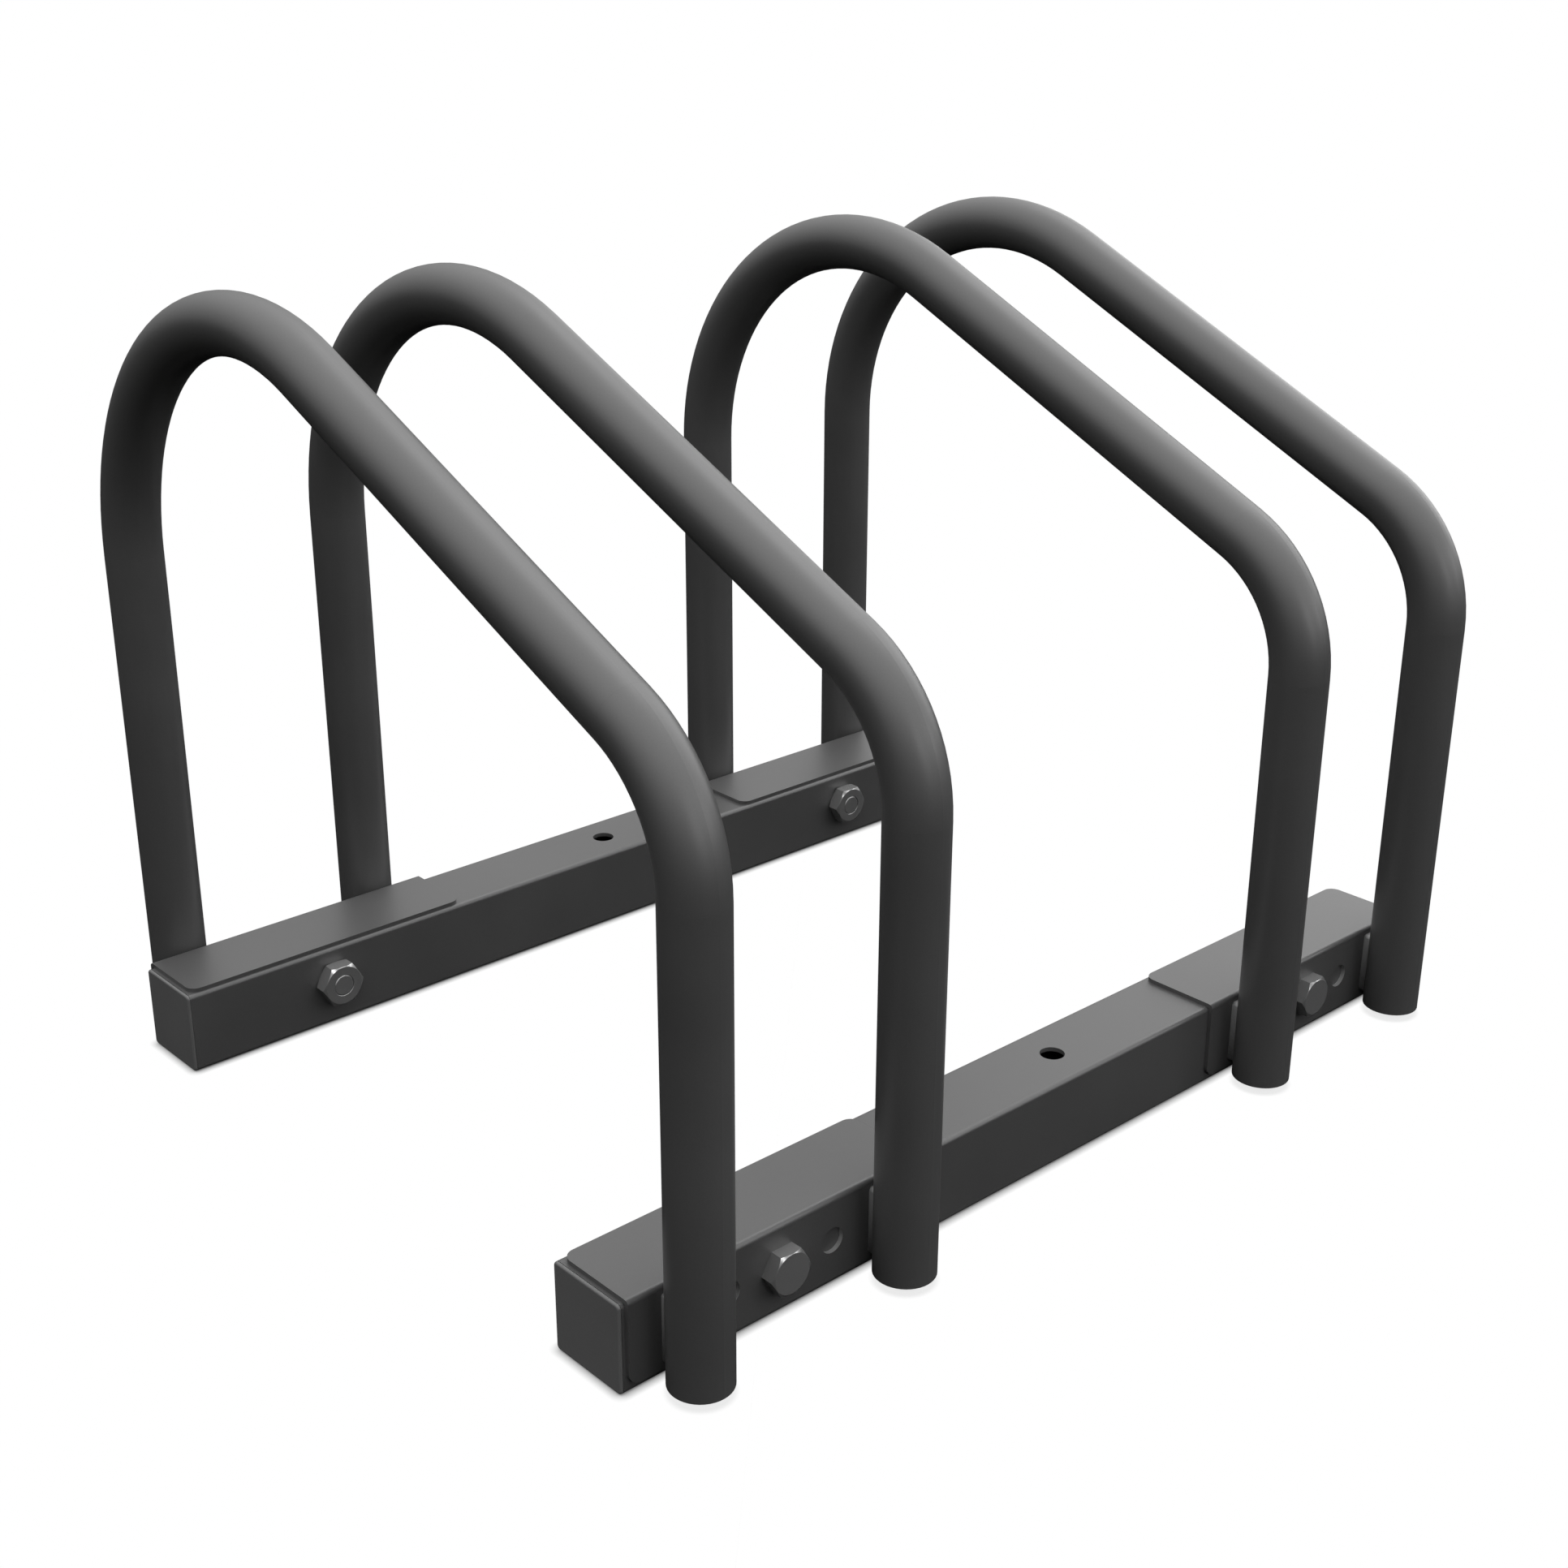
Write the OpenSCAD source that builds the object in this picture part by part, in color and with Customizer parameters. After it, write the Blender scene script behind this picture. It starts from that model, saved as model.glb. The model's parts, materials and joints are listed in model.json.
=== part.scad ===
// Floor rack for two bicycles: two square crossbars carry four bent tube hoops in two pairs,
// and a wheel stands between the two hoops of a pair.
// The origin is the middle of the footprint, on the floor. X runs along the crossbars.
// The low front of the hoops is towards -Y and their high rear towards +Y.

/* [Crossbars] */
// Width and height of the square tube
bar_w = 30; // [25:1:40]
// Wall of the square tube
bar_wall = 1.5; // [1:0.1:2.5]
// Outer corner radius of the square tube
bar_corner_r = 1.5; // [1:0.1:3]
// Distance between the middle lines of the two crossbars
bar_pitch = 245; // [220:1:300]
// Diameter of the floor bolt's hole
floor_hole_d = 8.5; // [6:0.1:11]
// Floor bolt's hole, measured from the middle of its crossbar
floor_hole_shift = 7.5; // [-20:0.5:20]

/* [Wheel slots] */
// Clear width between the two hoops of a pair
slot_w = 61; // [50:1:75]
// Distance between the middles of the two pairs
pair_pitch = 260; // [220:1:340]

/* [Hoops] */
// Outer diameter of the round tube
hoop_d = 20; // [16:0.5:25]
// Wall of the round tube
hoop_wall = 1.5; // [1:0.1:2.5]
// Height of the rack over the floor
rack_h = 279.5; // [260:0.5:340]
// Height of the leg ends over the floor
leg_lift = 2.5; // [1:0.1:8]
// Centre-line radius of the high rear bend
rear_bend_r = 90; // [60:1:100]
// Centre-line radius of the low front bend
front_bend_r = 48; // [35:1:60]
// Fall of the straight run from the rear bend to the front bend, in degrees
slope = 24.6; // [15:0.1:32]

/* [Brackets] */
// Thickness of the folded sheet
plate_t = 1.5; // [1.2:0.1:3]
// Inner radius of the fold
fold_r = 0.2; // [0.2:0.1:0.8]
// Radius of the four free corners
plate_corner_r = 4; // [1:0.5:6]
// Bracket that runs on past a leg's axis
bracket_margin = 16.7; // [14:0.1:25]
// Crossbar that shows between a bracket and an end cap
bar_reveal = 1.1; // [0:0.1:5]
// Bare top of the crossbar beside a bracket's top flange
top_setback = 1.2; // [0.5:0.1:6]
// Height of a bracket's lower edge over the floor
flange_lift = 3; // [1:0.5:6]
// Distance of the side holes from the bolt's axis
side_hole_pitch = 20.5; // [16:0.5:22]

/* [Welds] */
// Gap at the root of a weld, between leg and flange
weld_root = 1; // [0.3:0.1:1.5]
// Width of the weld metal along the flange
weld_w = 9.8; // [8:0.2:14]
// Bare flange under a weld
weld_foot = 2.3; // [0.5:0.1:5]
// Bare flat flange over a weld
weld_head = 1.1; // [0.2:0.1:4]
// Rounding of a weld's ends
weld_end_r = 1.2; // [0.5:0.1:2]

/* [Bolts and nuts] */
// Thread diameter
bolt_d = 8; // [6:0.5:8.5]
// Diameter of the holes that the bolts pass through
bolt_hole_d = 8.6; // [8.6:0.1:10]
// Distance from the crossbar's top face down to the bolt's axis
bolt_drop = 13.3; // [11:0.1:15]
// Width across the flats of the bolt's head
head_af = 13.8; // [12:0.1:16]
// Height of the bolt's head
head_h = 4.8; // [4:0.1:7]
// Width across the flats of the nut
nut_af = 15; // [12:0.1:17]
// Height of the nut
nut_h = 5.8; // [4:0.1:8]
// Bolt that stands out of its nut
bolt_proud = 0; // [0:0.1:3]
// Chamfer on the bolt's end
bolt_tip = 0.3; // [0.2:0.1:1]

/* [End caps] */
// Thickness of a cap's outer plate
cap_t = 1.1; // [0.8:0.1:3]
// Rounding of the plate's outer edge
cap_edge_r = 0.8; // [0.3:0.1:0.9]
// Chamfer on the plate's inner edge, which draws the seam to the crossbar
cap_seam = 0.2; // [0.1:0.1:0.4]
// Depth of a cap's insert in the crossbar
cap_insert_l = 14; // [10:0.5:25]
// Wall of the insert
cap_wall = 1.8; // [1.2:0.1:2.5]

/* [Leg plugs] */
// Length of a plug
plug_l = 14; // [10:0.5:25]
// Wall of a plug
plug_wall = 1.5; // [1:0.1:2.5]
// Thickness of a plug's closed end
plug_end_t = 2; // [1:0.1:4]

/* [Hidden] */
$fn = 96;
// Overrun of a cut past the faces that it opens
over = 1;
// Smallest radius left in a tube's inner corner
least_r = 0.3;
// Thinning of the tube's wall in a bend, on each side, and how far the straight runs lap the bends
bend_thinning = 0.01;
bend_lap = 0.05;
// Clearance of an insert or plug in its tube, and of its ribs
insert_clear = 0.6;
rib_clear = 0.1;
// Ribs round an insert or plug
rib_n = 3;
rib_w = 1;
// Clearance of the nut's thread, and the countersink at both its ends
thread_clear = 0.1;
nut_sink = 0.1;
// Flat face of head and nut as a share of the width across the flats, and the chamfer's angle
face_share = 0.975;
hex_chamfer_angle = 30;

// Crossbar
leg_pitch = slot_w + hoop_d;
leg_x = (pair_pitch + leg_pitch) / 2;
bar_l = 2 * (leg_x + bracket_margin + bar_reveal);
bar_bore = bar_w - 2 * bar_wall;
bar_bore_r = max(bar_corner_r - bar_wall, least_r);
// Bracket, seen from its own crossbar's middle
bracket_l = leg_pitch + 2 * bracket_margin;
flange_y = -bar_w / 2 - plate_t;
fold_outer_r = fold_r + plate_t;
bolt_z = bar_w - bolt_drop;
// Leg
leg_y = flange_y - weld_root - hoop_d / 2;
leg_world_y = bar_pitch / 2 - leg_y;
leg_bore = hoop_d - 2 * hoop_wall;
weld_z0 = flange_lift + weld_foot;
weld_z1 = bar_w - fold_r - weld_head;
// Hoop: its two legs, and the straight run between its two bends
rear_leg_l = rack_h - hoop_d / 2 - rear_bend_r - leg_lift;
slope_l = (2 * leg_world_y - rear_bend_r * (1 + sin(slope)) - front_bend_r * (1 - sin(slope))) / cos(slope);
front_leg_l = rear_leg_l + (rear_bend_r - front_bend_r) * cos(slope) - slope_l * sin(slope);
// Bolt
bolt_l = plate_t + bar_w + nut_h + bolt_proud;

steel = "#474747";
weld_grey = "#4a4a4a";
fastener = "#696969";
plastic = "#616161";

SIDES = ["left", "right"];
ENDS = ["front", "rear"];
PLACES = [for (e = ENDS) for (s = SIDES) str(e, "_", s)];
HOOPS = [for (i = [1:4]) str("hoop_", i)];
LEGS = [for (h = HOOPS) for (e = ENDS) str(h, "_", e)];

function side_sign(s) = s == "left" ? -1 : 1;
function hoop_x(i) = [-leg_x, leg_pitch - leg_x, leg_x - leg_pitch, leg_x][i];

// Puts children that are drawn for the front crossbar at the front or, mirrored, at the rear
module at_bar(end) {
    if (end == "front") translate([0, -bar_pitch / 2, 0]) children();
    else mirror([0, 1, 0]) translate([0, -bar_pitch / 2, 0]) children();
}

// Flat rectangle between two corners, with rounded corners
module rounded_rect(low, high, r) {
    translate([low[0] + r, low[1]]) square([high[0] - low[0] - 2 * r, high[1] - low[1]]);
    translate([low[0], low[1] + r]) square([high[0] - low[0], high[1] - low[1] - 2 * r]);
    for (x = [low[0] + r, high[0] - r], y = [low[1] + r, high[1] - r])
        translate([x, y]) circle(r);
}

module rounded_square(w, r) {
    rounded_rect([-w / 2, -w / 2], [w / 2, w / 2], r);
}

// Turns a flat outline drawn in Y and Z into a bar along X
module along_x(l) {
    rotate([90, 0, 90]) linear_extrude(l, center = true) children();
}

// Square tube on the floor, drilled for its floor bolt and for the two bracket bolts
module crossbar() {
    color(steel) difference() {
        translate([0, 0, bar_w / 2]) along_x(bar_l) difference() {
            rounded_square(bar_w, bar_corner_r);
            rounded_square(bar_bore, bar_bore_r);
        }
        translate([floor_hole_shift, 0, -over]) cylinder(h = bar_w + 2 * over, d = floor_hole_d);
        for (x = [-pair_pitch / 2, pair_pitch / 2])
            translate([x, 0, bolt_z]) rotate([90, 0, 0])
                cylinder(h = bar_w + 2 * over, d = bolt_hole_d, center = true);
    }
}

// Folded sheet: a top flange on the crossbar and a flange down its outer face
module bracket() {
    fold_y = fold_r - bar_w / 2;
    fold_z = bar_w - fold_r;
    back_y = bar_w / 2 - top_setback;
    top_z = bar_w + plate_t;
    slack = plate_corner_r + over;
    color(steel) difference() {
        intersection() {
            along_x(bracket_l) {
                translate([fold_y, bar_w]) square([back_y - fold_y, plate_t]);
                translate([flange_y, flange_lift]) square([plate_t, fold_z - flange_lift]);
                translate([fold_y, fold_z]) intersection() {
                    difference() {
                        circle(fold_outer_r);
                        circle(fold_r);
                    }
                    translate([-fold_outer_r, 0]) square(fold_outer_r);
                }
            }
            linear_extrude(top_z + over)
                rounded_rect([-bracket_l / 2, flange_y - slack], [bracket_l / 2, back_y], plate_corner_r);
            rotate([90, 0, 0]) linear_extrude(2 * bar_w, center = true)
                rounded_rect([-bracket_l / 2, flange_lift], [bracket_l / 2, top_z + slack], plate_corner_r);
        }
        for (x = [-side_hole_pitch, 0, side_hole_pitch])
            translate([x, flange_y - over, bolt_z]) rotate([-90, 0, 0])
                cylinder(h = plate_t + 2 * over, d = bolt_hole_d);
    }
}

// Cut through a cap's outer plate: its thickness along X, and a width of twice half_w along Y
module cap_section(half_w) {
    r = min(cap_edge_r, cap_t - cap_seam);
    flat = half_w - cap_seam;
    step = cap_t - r;
    polygon([[0, -flat], [cap_seam, -half_w], [step, -half_w],
        [step, half_w], [cap_seam, half_w], [0, flat]]);
    translate([0, r - half_w]) square([cap_t, 2 * (half_w - r)]);
    for (side = [-1, 1]) translate([step, side * (half_w - r)]) intersection() {
        circle(r);
        translate([0, -r]) square([r, 2 * r]);
    }
}

// Outer plate of a cap: two crossing slabs and four round corners, all with the same rounded edge
module cap_plate() {
    reach = bar_w / 2 - bar_corner_r;
    for (turn = [0, 90]) rotate([turn, 0, 0])
        linear_extrude(2 * reach, center = true) cap_section(bar_w / 2);
    for (y = [-reach, reach], z = [-reach, reach])
        translate([0, y, z]) rotate([0, 90, 0]) rotate_extrude() intersection() {
            mirror([1, -1]) cap_section(bar_corner_r);
            square([bar_corner_r, cap_t]);
        }
}

// Square plastic cap for the crossbar's +X end, seen from the bar's axis at its cut face
module end_cap() {
    body_w = bar_bore - insert_clear;
    color(plastic) {
        cap_plate();
        difference() {
            union() {
                translate([-cap_insert_l / 2, 0, 0]) along_x(cap_insert_l) rounded_square(body_w, bar_bore_r);
                for (i = [1:rib_n])
                    translate([-i * cap_insert_l / (rib_n + 1), 0, 0]) along_x(rib_w)
                        rounded_square(bar_bore - 2 * rib_clear, bar_bore_r);
            }
            along_x(2 * cap_insert_l + over) rounded_square(body_w - 2 * cap_wall, bar_bore_r);
        }
    }
}

// Cut face of the hoop's tube, with its wall drawn thinner on both sides where asked
module tube_ring(thinning = 0) {
    difference() {
        circle(hoop_d / 2 - thinning);
        circle(leg_bore / 2 + thinning);
    }
}

// Straight run of the tube towards +Y; the children go on from its far end
module straight(l) {
    translate([0, -bend_lap, 0]) rotate([-90, 0, 0]) linear_extrude(l + 2 * bend_lap) tube_ring();
    translate([0, l, 0]) children();
}

// Bend of the tube from +Y round to the left; the children go on from its far end
module bend(r, angle) {
    translate([-r, 0, 0]) {
        rotate_extrude(angle = angle) translate([r, 0]) tube_ring(bend_thinning);
        rotate([0, 0, angle]) translate([r, 0, 0]) children();
    }
}

// Bent round tube, open at both leg ends, from the foot of its rear leg to that of its front leg
module hoop() {
    color(steel) rotate([90, 0, 90]) translate([leg_world_y, leg_lift + bend_lap, 0])
        straight(rear_leg_l - bend_lap) bend(rear_bend_r, 90 + slope) straight(slope_l)
            bend(front_bend_r, 90 - slope) straight(front_leg_l - bend_lap);
}

// Weld metal between a front leg and its flange, seen from the front crossbar's middle
module weld() {
    half_w = weld_w / 2;
    edge_y = leg_y + sqrt(pow(hoop_d / 2, 2) - pow(half_w, 2));
    color(weld_grey) difference() {
        translate([0, flange_y, 0]) rotate([90, 0, 0]) linear_extrude(flange_y - edge_y)
            rounded_rect([-half_w, weld_z0], [half_w, weld_z1], weld_end_r);
        translate([0, leg_y, weld_z0 - over]) cylinder(h = weld_z1 - weld_z0 + 2 * over, d = hoop_d);
    }
}

// Ribbed plastic plug, closed at the bottom, seen from the leg's end
module leg_plug() {
    body_d = leg_bore - insert_clear;
    color(plastic) difference() {
        union() {
            cylinder(h = plug_l, d = body_d);
            for (i = [1:rib_n])
                translate([0, 0, i * plug_l / (rib_n + 1) - rib_w / 2])
                    cylinder(h = rib_w, d = leg_bore - 2 * rib_clear);
        }
        translate([0, 0, plug_end_t]) cylinder(h = plug_l, d = body_d - 2 * plug_wall);
    }
}

// Hexagon block on the XY plane, chamfered at its top and, for a nut, at its foot too
module hex_block(af, h, foot_chamfer) {
    corner_r = af / 2 / cos(30);
    rim_r = corner_r + over;
    face_r = face_share * af / 2;
    drop = (rim_r - face_r) * tan(hex_chamfer_angle);
    foot = foot_chamfer ? [[face_r, 0], [rim_r, drop]] : [[rim_r, 0]];
    intersection() {
        cylinder(h = h, r = corner_r, $fn = 6);
        rotate_extrude() polygon(concat([[0, 0]], foot, [[rim_r, h - drop], [face_r, h], [0, h]]));
    }
}

// Bolt with its head below the XY plane and its shank upwards
module hex_bolt() {
    r = bolt_d / 2;
    foot = -head_h / 2;
    color(fastener) {
        mirror([0, 0, 1]) hex_block(head_af, head_h, false);
        rotate_extrude()
            polygon([[0, foot], [r, foot], [r, bolt_l - bolt_tip], [r - bolt_tip, bolt_l], [0, bolt_l]]);
    }
}

module hex_nut() {
    r = bolt_d / 2 + thread_clear;
    sink_r = r + nut_sink;
    color(fastener) difference() {
        hex_block(nut_af, nut_h, true);
        rotate_extrude() polygon([[0, -over], [sink_r, -over], [sink_r, 0], [r, nut_sink],
            [r, nut_h - nut_sink], [sink_r, nut_h], [sink_r, nut_h + over], [0, nut_h + over]]);
    }
}

for (e = ENDS) {
    at_bar(e) crossbar();
    for (s = SIDES) {
        x = side_sign(s) * pair_pitch / 2;
        at_bar(e)
            rotate([0, 0, s == "left" ? 180 : 0]) translate([bar_l / 2, 0, bar_w / 2]) end_cap();
        at_bar(e) translate([x, 0, 0]) bracket();
        at_bar(e)
            translate([x, flange_y, bolt_z]) rotate([-90, 0, 0]) hex_bolt();
        at_bar(e)
            translate([x, bar_w / 2, bolt_z]) rotate([-90, 0, 0]) hex_nut();
    }
    for (i = [0:3]) {
        at_bar(e)
            translate([hoop_x(i), 0, 0]) weld();
        at_bar(e)
            translate([hoop_x(i), leg_y, leg_lift]) leg_plug();
    }
}
for (i = [0:3])
    translate([hoop_x(i), 0, 0]) hoop();
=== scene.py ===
"""Floor rack for two bicycles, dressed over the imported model: camera, studio and materials."""

import json
import math

import bpy
from mathutils import Matrix, Vector

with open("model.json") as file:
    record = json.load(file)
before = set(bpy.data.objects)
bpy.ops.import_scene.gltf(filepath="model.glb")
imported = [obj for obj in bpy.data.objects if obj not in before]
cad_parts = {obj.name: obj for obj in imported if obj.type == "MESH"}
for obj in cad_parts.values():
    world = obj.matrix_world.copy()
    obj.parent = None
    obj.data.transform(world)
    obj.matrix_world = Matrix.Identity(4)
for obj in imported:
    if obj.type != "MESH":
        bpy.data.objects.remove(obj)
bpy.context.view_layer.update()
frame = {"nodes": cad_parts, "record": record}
nodes = frame["nodes"]
scene = bpy.context.scene


# ---- camera -----------------------------------------------------------------
IMAGE_W = 1932
SENSOR_W = 36.0
CLIP = (0.01, 50.0)
CAMERA_AT = Vector((-0.49251, -0.53728, 0.38777))
HEADING = math.radians(48.03)  # in plan, from +X towards +Y
PITCH = math.radians(22.14)  # below the horizon
ROLL = math.radians(0.06)
FOCAL_PX = 2679.67
AXIS_PX = (950.42, 970.37)  # where the lens axis meets the picture


def make_camera():
    level = math.cos(PITCH)
    forward = Vector((level * math.cos(HEADING), level * math.sin(HEADING), -math.sin(PITCH)))
    right0 = Vector((math.sin(HEADING), -math.cos(HEADING), 0))
    up0 = right0.cross(forward)
    right = math.cos(ROLL) * right0 + math.sin(ROLL) * up0
    up = math.cos(ROLL) * up0 - math.sin(ROLL) * right0
    data = bpy.data.cameras.new("camera")
    data.sensor_width = SENSOR_W
    data.lens = FOCAL_PX / IMAGE_W * SENSOR_W
    data.shift_x = (IMAGE_W / 2 - AXIS_PX[0]) / IMAGE_W
    data.shift_y = (AXIS_PX[1] - IMAGE_W / 2) / IMAGE_W
    data.clip_start, data.clip_end = CLIP
    camera = bpy.data.objects.new("camera", data)
    axes = Matrix((right, up, -forward)).transposed().to_4x4()
    camera.matrix_world = Matrix.Translation(CAMERA_AT) @ axes
    scene.collection.objects.link(camera)
    scene.camera = camera


make_camera()
scene.view_settings.view_transform = "Standard"


# ---- node helpers -----------------------------------------------------------
def new_tree(owner):
    owner.use_nodes = True
    tree = owner.node_tree
    tree.nodes.clear()
    return tree


def add(tree, kind, links=None, **settings):
    """Adds a node. links maps an input, by name or number, to a value or to a node's output."""
    node = tree.nodes.new(kind)
    for key, value in settings.items():
        setattr(node, key, value)
    for key, value in (links or {}).items():
        if isinstance(value, bpy.types.NodeSocket):
            tree.links.new(value, node.inputs[key])
        else:
            node.inputs[key].default_value = value
    return node


def math_node(tree, operation, a, b=0.0):
    return add(tree, "ShaderNodeMath", {0: a, 1: b}, operation=operation).outputs[0]


def remap(tree, value, low, high, out_low, out_high):
    return add(tree, "ShaderNodeMapRange", {
        "Value": value, "From Min": low, "From Max": high,
        "To Min": out_low, "To Max": out_high}).outputs["Result"]


def split(tree, vector):
    """The outputs X, Y and Z of a vector."""
    return add(tree, "ShaderNodeSeparateXYZ", {0: vector}).outputs


def linear(value):
    """A grey as in a picture, 0 to 1, as linear light."""
    return value / 12.92 if value <= 0.04045 else ((value + 0.055) / 1.055) ** 2.4


def grey(value):
    v = linear(value)
    return (v, v, v, 1)


# ---- studio -----------------------------------------------------------------
# The sky for light that strikes the object: its level at the horizon, and what it gains overhead.
HORIZON = 0.08
ZENITH = 1.4
MIRRORED = 0.25  # what the low sky gains where it is mirrored
SKY_START = 0.05  # the low sky fades in from the horizon to this Z of a direction
# The lamps are patches of the sky: heading and height in degrees, spread in degrees, level.
LAMPS = (
    (0, 32, 20, 1.4),
    (22, 58, 16, 1.3),
    (-30, 25, 20, 0.25),
    (-75, 32, 20, 0.2),
    (2, 6, 14, 1.8),
    (26, 6, 14, 2.0),
    (-93, 23, 4.5, 7.0),
    (-82, 14, 4, 5.5),
    (-62, 22, 5, 3.5),
    (-40, 14, 5, 7.0),
)
WHITE = (1, 1, 1, 1)
FLOOR_SIZE = 12.0
FLOOR_DROP = 0.0002  # keeps the floor clear of the crossbars' lower faces
FLOOR_DARK = 0.05  # the floor's grey for light that strikes or mirrors in the object
SHADOW_REACH = 0.003
SHADOW_DEPTH = 1.1  # power of the open share of the sky; more is darker


def lamp_patch(tree, look, heading, height, spread, level):
    """Level times exp((cos(angle off the patch's middle) - 1) / (1 - cos(spread)))."""
    h, e, s = (math.radians(v) for v in (heading, height, spread))
    middle = (math.cos(e) * math.cos(h), math.cos(e) * math.sin(h), math.sin(e))
    near = add(tree, "ShaderNodeVectorMath", {0: look, 1: middle}, operation="DOT_PRODUCT")
    off = math_node(tree, "SUBTRACT", near.outputs["Value"], 1.0)
    fall = math_node(tree, "EXPONENT", math_node(tree, "DIVIDE", off, 1 - math.cos(s)))
    return math_node(tree, "MULTIPLY", fall, level)


def show_white(tree, path, hidden, white):
    """The shader white where it is seen straight or through glass, and hidden elsewhere."""
    seen = math_node(tree, "MAXIMUM", path["Is Camera Ray"], path["Is Transmission Ray"])
    mix = add(tree, "ShaderNodeMixShader", {0: seen, 1: hidden.outputs[0], 2: white.outputs[0]})
    return mix.outputs[0]


def make_world():
    world = bpy.data.worlds.new("studio")
    scene.world = world
    tree = new_tree(world)
    path = add(tree, "ShaderNodeLightPath").outputs
    look = add(tree, "ShaderNodeTexCoord").outputs["Generated"]
    height = split(tree, look)["Z"]
    above = remap(tree, height, 0.0, SKY_START, 0.0, 1.0)
    overhead = add(tree, "ShaderNodeMapRange", {"Value": height, "To Max": ZENITH},
                   interpolation_type="SMOOTHSTEP")
    mirrored = math_node(tree, "MULTIPLY", path["Is Glossy Ray"], MIRRORED)
    low = math_node(tree, "MULTIPLY", math_node(tree, "ADD", mirrored, HORIZON), above)
    light = math_node(tree, "ADD", low, overhead.outputs["Result"])
    for lamp in LAMPS:
        light = math_node(tree, "ADD", light, lamp_patch(tree, look, *lamp))
    dome = add(tree, "ShaderNodeBackground", {"Color": WHITE, "Strength": light})
    white = add(tree, "ShaderNodeBackground", {"Color": WHITE, "Strength": 1.0})
    add(tree, "ShaderNodeOutputWorld", {"Surface": show_white(tree, path, dome, white)})


def make_floor():
    """White with a shadow of contact to the camera, and dark to the light on the object."""
    bpy.ops.mesh.primitive_plane_add(size=FLOOR_SIZE, location=(0, 0, -FLOOR_DROP))
    floor = bpy.context.object
    floor.name = "floor"
    material = bpy.data.materials.new("floor")
    floor.data.materials.append(material)
    tree = new_tree(material)
    path = add(tree, "ShaderNodeLightPath").outputs
    contact = add(tree, "ShaderNodeAmbientOcclusion", {"Distance": SHADOW_REACH}, samples=16)
    shade = math_node(tree, "POWER", contact.outputs["AO"], SHADOW_DEPTH)
    white = add(tree, "ShaderNodeEmission", {"Color": WHITE, "Strength": shade})
    dark = add(tree, "ShaderNodeBsdfDiffuse", {"Color": grey(FLOOR_DARK)})
    add(tree, "ShaderNodeOutputMaterial", {"Surface": show_white(tree, path, dark, white)})


make_world()
make_floor()


# ---- materials --------------------------------------------------------------
NOISE_SPAN = (0.3, 0.7)  # most of a noise lies between these
CLOUD_SIZE = 0.05
CLOUD_ROUGHNESS = 0.03  # how much rougher or smoother the clouds are
EDGE_RADIUS = 0.00025
EDGE_SPAN = (0.99, 0.85)  # cosine between rounded and true normal, from no edge wear and painted highlight to full
EDGE_SMOOTHER = 0.3  # share of the roughness that a worn edge loses
WELD_MIDDLE = 0.017  # height of a weld's middle
WELD_SWELL = 28.0  # how strongly a weld's bead seems to round off towards its ends
RIPPLE_TURN = 4200.0  # radians for each metre along a weld, so a ripple is 1.5 mm long
RIPPLE_DEPTH = 0.00002
BOLT_AXIS = (0.13, 0.0167)  # the bolts' axes, along Y, to both sides of the middle
RINGS = 2500.0  # times the noise's own scale of 5, so a turned ring is about 0.1 mm wide
RING_DEPTH = 0.000004
SIDE_HOLES = 0.0205  # from a bolt's axis to those of the bracket's two side holes
SIDE_HOLE_R = 0.0044
WALL_FACING = 0.5  # a hole's wall faces less along Y than this
PAINTED_WALL_LIGHT = 4.0  # how much lighter the drilled wall of a side hole is painted than the coat, as a painted highlight


def vary(tree, fac, middle, by):
    """A value that goes with a noise from by below the middle to by above it."""
    return remap(tree, fac, *NOISE_SPAN, middle - by, middle + by)


def noise(tree, where, size, detail=2.0):
    """Noise from 0 to 1 whose features are about as large as size, in metres."""
    links = {"Vector": where, "Scale": 1 / size, "Detail": detail}
    return add(tree, "ShaderNodeTexNoise", links).outputs["Fac"]


def bump(tree, height, depth, normal=None):
    links = {"Height": height, "Distance": depth, "Strength": 1.0}
    if normal is not None:
        links["Normal"] = normal
    return add(tree, "ShaderNodeBump", links).outputs["Normal"]


def edge_wear_and_highlight(tree):
    """1 along the edges of a piece and 0 on its faces, where edge wear and a painted highlight
    go.
    """
    soft = add(tree, "ShaderNodeBevel", {"Radius": EDGE_RADIUS}, samples=4).outputs["Normal"]
    true = add(tree, "ShaderNodeNewGeometry").outputs["Normal"]
    alike = add(tree, "ShaderNodeVectorMath", {0: soft, 1: true}, operation="DOT_PRODUCT")
    return remap(tree, alike.outputs["Value"], *EDGE_SPAN, 0.0, 1.0)


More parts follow.
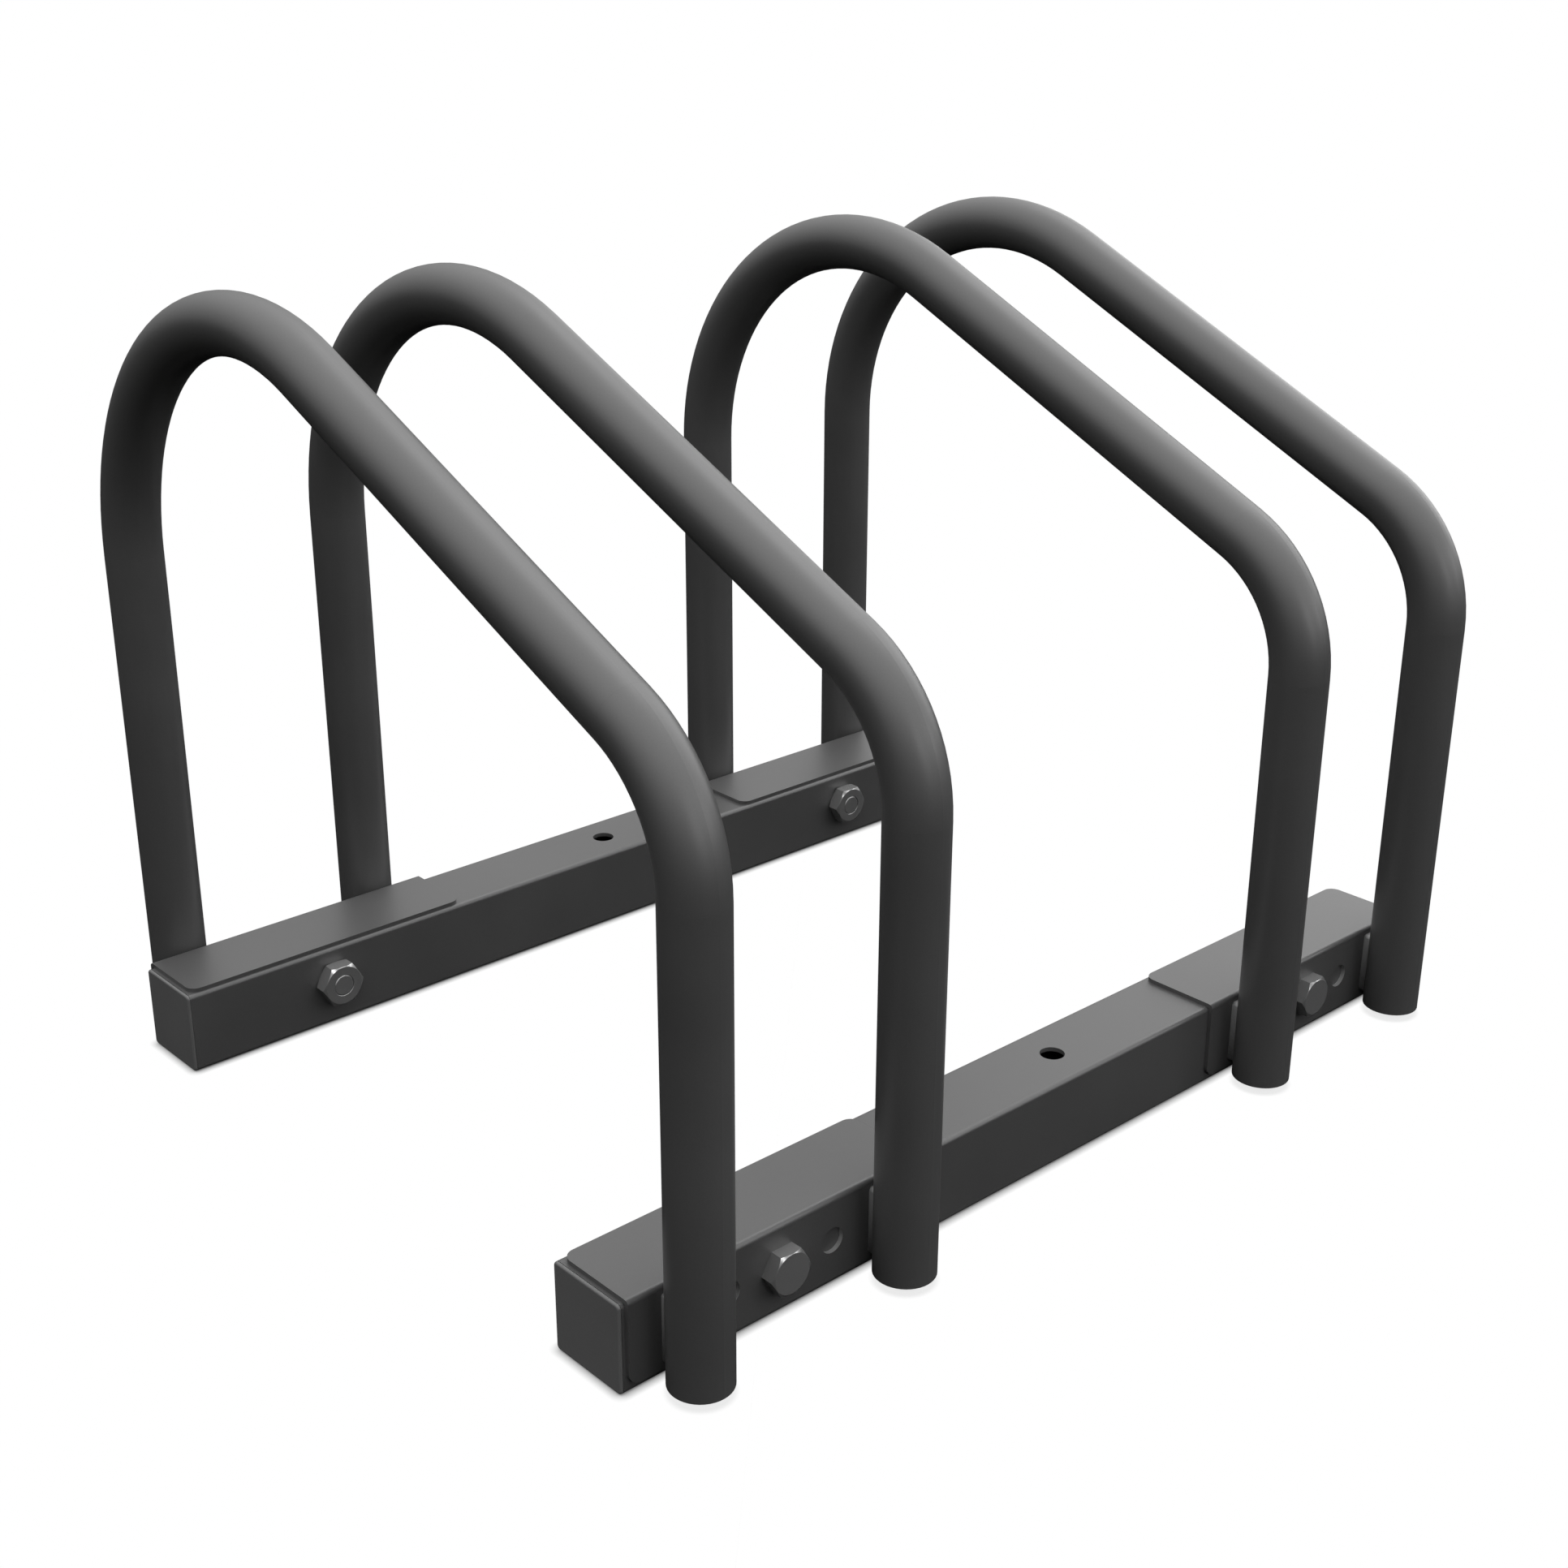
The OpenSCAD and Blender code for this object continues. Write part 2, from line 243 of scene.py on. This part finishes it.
def finish(name, base, roughness, ior, metallic=0.0, grain=0.0004, relief=0.000006, clouds=0.06,
           specks=0.05, worn_and_highlight=0.12, shape=None, painted_light=None):
    """A grey surface with clouds and specks in its colour, a fine relief and rubbed edges.

    The edges are a little lighter, as wear and as a painted highlight, and smoother. shape gives
    a normal, and the last argument gives the places, 0 to 1, where a painted highlight makes the
    surface much lighter."""
    material = bpy.data.materials.new(name)
    tree = new_tree(material)
    where = add(tree, "ShaderNodeTexCoord").outputs["Object"]
    cloud = noise(tree, where, CLOUD_SIZE, 3.0)
    speck = noise(tree, where, grain)
    wear_and_highlight = edge_wear_and_highlight(tree)
    tint = math_node(tree, "MULTIPLY", vary(tree, cloud, 1, clouds), vary(tree, speck, 1, specks))
    # edges lighter: partly wear, partly a painted highlight
    tint = math_node(tree, "MULTIPLY", tint, remap(tree, wear_and_highlight, 0.0, 1.0, 1.0, 1 + worn_and_highlight))
    # painted highlight: the walls of the side holes much lighter than the coat
    if painted_light:
        lighter = remap(tree, painted_light(tree, where), 0.0, 1.0, 1.0, PAINTED_WALL_LIGHT)
        tint = math_node(tree, "MULTIPLY", tint, lighter)
    colour = add(tree, "ShaderNodeVectorMath", {0: grey(base)[:3], "Scale": tint},
                 operation="SCALE").outputs[0]
    rough = math_node(tree, "ADD", vary(tree, cloud, roughness, CLOUD_ROUGHNESS),
                      math_node(tree, "MULTIPLY", wear_and_highlight, -EDGE_SMOOTHER * roughness))
    normal = shape(tree, where) if shape else None
    shader = add(tree, "ShaderNodeBsdfPrincipled", {
        "Base Color": colour, "Roughness": rough, "Metallic": metallic, "IOR": ior,
        "Normal": bump(tree, speck, relief, normal)})
    add(tree, "ShaderNodeOutputMaterial", {"Surface": shader.outputs[0]})
    return material


def bead(tree, where):
    """A weld's rounding towards its ends, with the ripples of its bead."""
    along = math_node(tree, "SUBTRACT", split(tree, where)["Z"], WELD_MIDDLE)
    swell = math_node(tree, "MULTIPLY", math_node(tree, "MULTIPLY", along, along), -WELD_SWELL)
    wave = math_node(tree, "SINE", math_node(tree, "MULTIPLY", along, RIPPLE_TURN))
    ripple = math_node(tree, "MULTIPLY", wave, RIPPLE_DEPTH)
    return bump(tree, math_node(tree, "ADD", swell, ripple), 1.0)


def off_axis(tree, where, shift):
    """Distance from the bolts' axes or, with a shift, from axes that far to both sides."""
    at = split(tree, where)
    side = math_node(tree, "SUBTRACT", math_node(tree, "ABSOLUTE", at["X"]), BOLT_AXIS[0])
    side = math_node(tree, "SUBTRACT", math_node(tree, "ABSOLUTE", side), shift)
    up = math_node(tree, "SUBTRACT", at["Z"], BOLT_AXIS[1])
    off = add(tree, "ShaderNodeCombineXYZ", {0: side, 1: up}).outputs[0]
    return add(tree, "ShaderNodeVectorMath", {0: off}, operation="LENGTH").outputs["Value"]


def turned(tree, where):
    """Faint rings round a bolt's axis."""
    radius = math_node(tree, "MULTIPLY", off_axis(tree, where, 0.0), RINGS)
    ring = add(tree, "ShaderNodeTexNoise", {"W": radius, "Detail": 1.0}, noise_dimensions="1D")
    return bump(tree, ring.outputs["Fac"], RING_DEPTH)


def hole_wall_highlight(tree, where):
    """1 on the walls of the brackets' side holes, where a painted highlight goes."""
    near = math_node(tree, "LESS_THAN", off_axis(tree, where, SIDE_HOLES), SIDE_HOLE_R)
    facing = split(tree, add(tree, "ShaderNodeNewGeometry").outputs["Normal"])["Y"]
    facing = math_node(tree, "ABSOLUTE", facing)
    return math_node(tree, "MULTIPLY", near, math_node(tree, "LESS_THAN", facing, WALL_FACING))


LOOKS = {
    # the coat's side-hole walls get a painted highlight
    "powder_coat": finish("powder_coat", 0.31, 0.4, 1.68, painted_light=hole_wall_highlight),
    # the weld is the same coat; its lighter grey, 0.50 against the coat's 0.31, is painted light
    # that makes up for the shade between leg and flange
    "weld": finish("weld", 0.50, 0.4, 1.68, grain=0.0006, relief=0.00002, shape=bead),
    # the fasteners' edges and chamfers are lighter, as wear and as a painted highlight
    "fastener": finish("fastener", 0.66, 0.15, 1.5, metallic=0.65, relief=0.000002, specks=0.03,
                       worn_and_highlight=0.2, shape=turned),
    "plastic": finish("plastic", 0.43, 0.25, 1.5, grain=0.0003, relief=0.000004),
}
for part in frame["record"]["subparts"]:
    mesh = nodes[part["node"]].data
    mesh.materials.clear()
    mesh.materials.append(LOOKS[part["material_slot"]])
